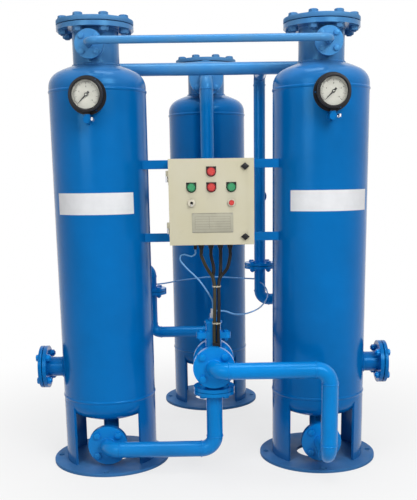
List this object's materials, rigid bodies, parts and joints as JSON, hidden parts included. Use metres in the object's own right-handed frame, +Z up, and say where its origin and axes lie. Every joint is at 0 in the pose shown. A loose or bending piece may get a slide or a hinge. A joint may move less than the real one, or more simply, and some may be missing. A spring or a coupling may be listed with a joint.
{
  "type": "desiccant air dryer",
  "caption": "Upright compressed air dryer: drying towers side by side with a vessel behind, flanged pipework, changeover valve, gauges and a cabinet with a hinged door.",
  "frame": {"origin": "on the floor, under the middle of the whole dryer", "axes": "+Z up, +X to the right seen from the front, +Y from the front to the back, so the panel door faces -Y"},
  "size_m": [1.374, 1.4143, 1.6715],
  "materials": {
    "vessel_paint": "glossy blue enamel",
    "pipe_paint": "glossy brighter blue enamel",
    "cream_paint": "satin cream powder coat",
    "black_plastic": "satin black",
    "bright_steel": "bright plated",
    "gasket": "matt",
    "window_glass": "clear",
    "dial_paint": "matt cream",
    "pointer_paint": "matt black",
    "red_lens": "translucent red",
    "green_lens": "translucent green",
    "white_plastic": "satin",
    "grey_plastic": "satin",
    "zinc_sheet": "zinc plated",
    "desiccant": "granular",
    "cable_sheath": "matt",
    "tube_plastic": "translucent pale blue"
  },
  "bodies": {
    "dryer": {"left_vessel": "vessel_paint", "right_vessel": "vessel_paint", "rear_vessel": "vessel_paint", "left_cover": "vessel_paint", "right_cover": "vessel_paint", "rear_cover": "vessel_paint", "skirt_legs": "vessel_paint", "base_plates": "vessel_paint", "desiccant_beds": "desiccant", "bed_screens": "bright_steel", "flange_gaskets": "gasket", "m20_bolts": "vessel_paint", "m16_bolts": "pipe_paint", "m12_bolts": "pipe_paint", "drain_blinds": "vessel_paint", "left_lower_spool": "pipe_paint", "right_lower_spool": "pipe_paint", "valve_body": "pipe_paint", "valve_bonnet": "pipe_paint", "valve_actuator": "pipe_paint", "actuator_fitting": "white_plastic", "pilot_block": "black_plastic", "purge_line": "pipe_paint", "outlet_header": "pipe_paint", "outlet_riser": "pipe_paint", "outlet_elbow": "pipe_paint", "rear_downpipe": "pipe_paint", "inlet_upper": "pipe_paint", "inlet_lower": "pipe_paint", "gauge_cases": "black_plastic", "gauge_dials": "dial_paint", "gauge_windows": "window_glass", "gauge_cocks": "vessel_paint", "panel_box": "cream_paint", "panel_hinges": "bright_steel", "cable_glands": "black_plastic", "mounting_plate": "zinc_sheet", "controller": "grey_plastic", "upper_rail": "vessel_paint", "lower_rail": "vessel_paint", "cable_1": "cable_sheath", "cable_2": "cable_sheath", "cable_3": "cable_sheath", "cable_4": "cable_sheath", "signal_tube": "tube_plastic", "cross_tube": "tube_plastic", "riser_tube": "tube_plastic"},
    "door": {"panel_door": "cream_paint", "red_lamps": "red_lens", "green_lamps": "green_lens", "control_bezels": "black_plastic"},
    "upper_lock": {"upper_lock": "black_plastic"},
    "lower_lock": {"lower_lock": "black_plastic"},
    "toggle": {"toggle_lever": "bright_steel"},
    "reset": {"reset_button": "red_lens"},
    "left_pointer": {"left_pointer": "pointer_paint"},
    "right_pointer": {"right_pointer": "pointer_paint"},
    "left_handle": {"left_cock_handle": "bright_steel"},
    "right_handle": {"right_cock_handle": "bright_steel"}
  },
  "joints": [
    {"name": "door_hinge", "type": "hinge", "parent": "dryer", "child": "door", "pos_m": [-0.155, -0.56793, 1.015], "axis": [0, 0, -1], "range_deg": [0, 110]},
    {"name": "upper_lock_turn", "type": "hinge", "parent": "door", "child": "upper_lock", "pos_m": [0.118, -0.58432, 1.137], "axis": [0, 1, 0], "range_deg": [0, 90]},
    {"name": "lower_lock_turn", "type": "hinge", "parent": "door", "child": "lower_lock", "pos_m": [0.118, -0.58432, 0.893], "axis": [0, 1, 0], "range_deg": [0, 90]},
    {"name": "toggle_flip", "type": "hinge", "parent": "door", "child": "toggle", "pos_m": [-0.07, -0.58032, 1.012], "axis": [-1, 0, 0], "range_deg": [0, 30]},
    {"name": "reset_push", "type": "slide", "parent": "door", "child": "reset", "axis": [0, 1, 0], "range_m": [0, 0.003], "stiffness_N_per_m": 400},
    {"name": "left_pointer_turn", "type": "hinge", "parent": "dryer", "child": "left_pointer", "pos_m": [-0.422, -0.58522, 1.383], "axis": [0, 1, 0], "range_deg": [0, 270], "stiffness_Nm_per_rad": 0.01},
    {"name": "right_pointer_turn", "type": "hinge", "parent": "dryer", "child": "right_pointer", "pos_m": [0.422, -0.58522, 1.383], "axis": [0, 1, 0], "range_deg": [0, 270], "stiffness_Nm_per_rad": 0.01},
    {"name": "left_cock_turn", "type": "hinge", "parent": "dryer", "child": "left_handle", "pos_m": [-0.409, -0.58522, 1.301], "axis": [1, 0, 0], "range_deg": [0, 90]},
    {"name": "right_cock_turn", "type": "hinge", "parent": "dryer", "child": "right_handle", "pos_m": [0.435, -0.58522, 1.301], "axis": [1, 0, 0], "range_deg": [0, 90]}
  ]
}
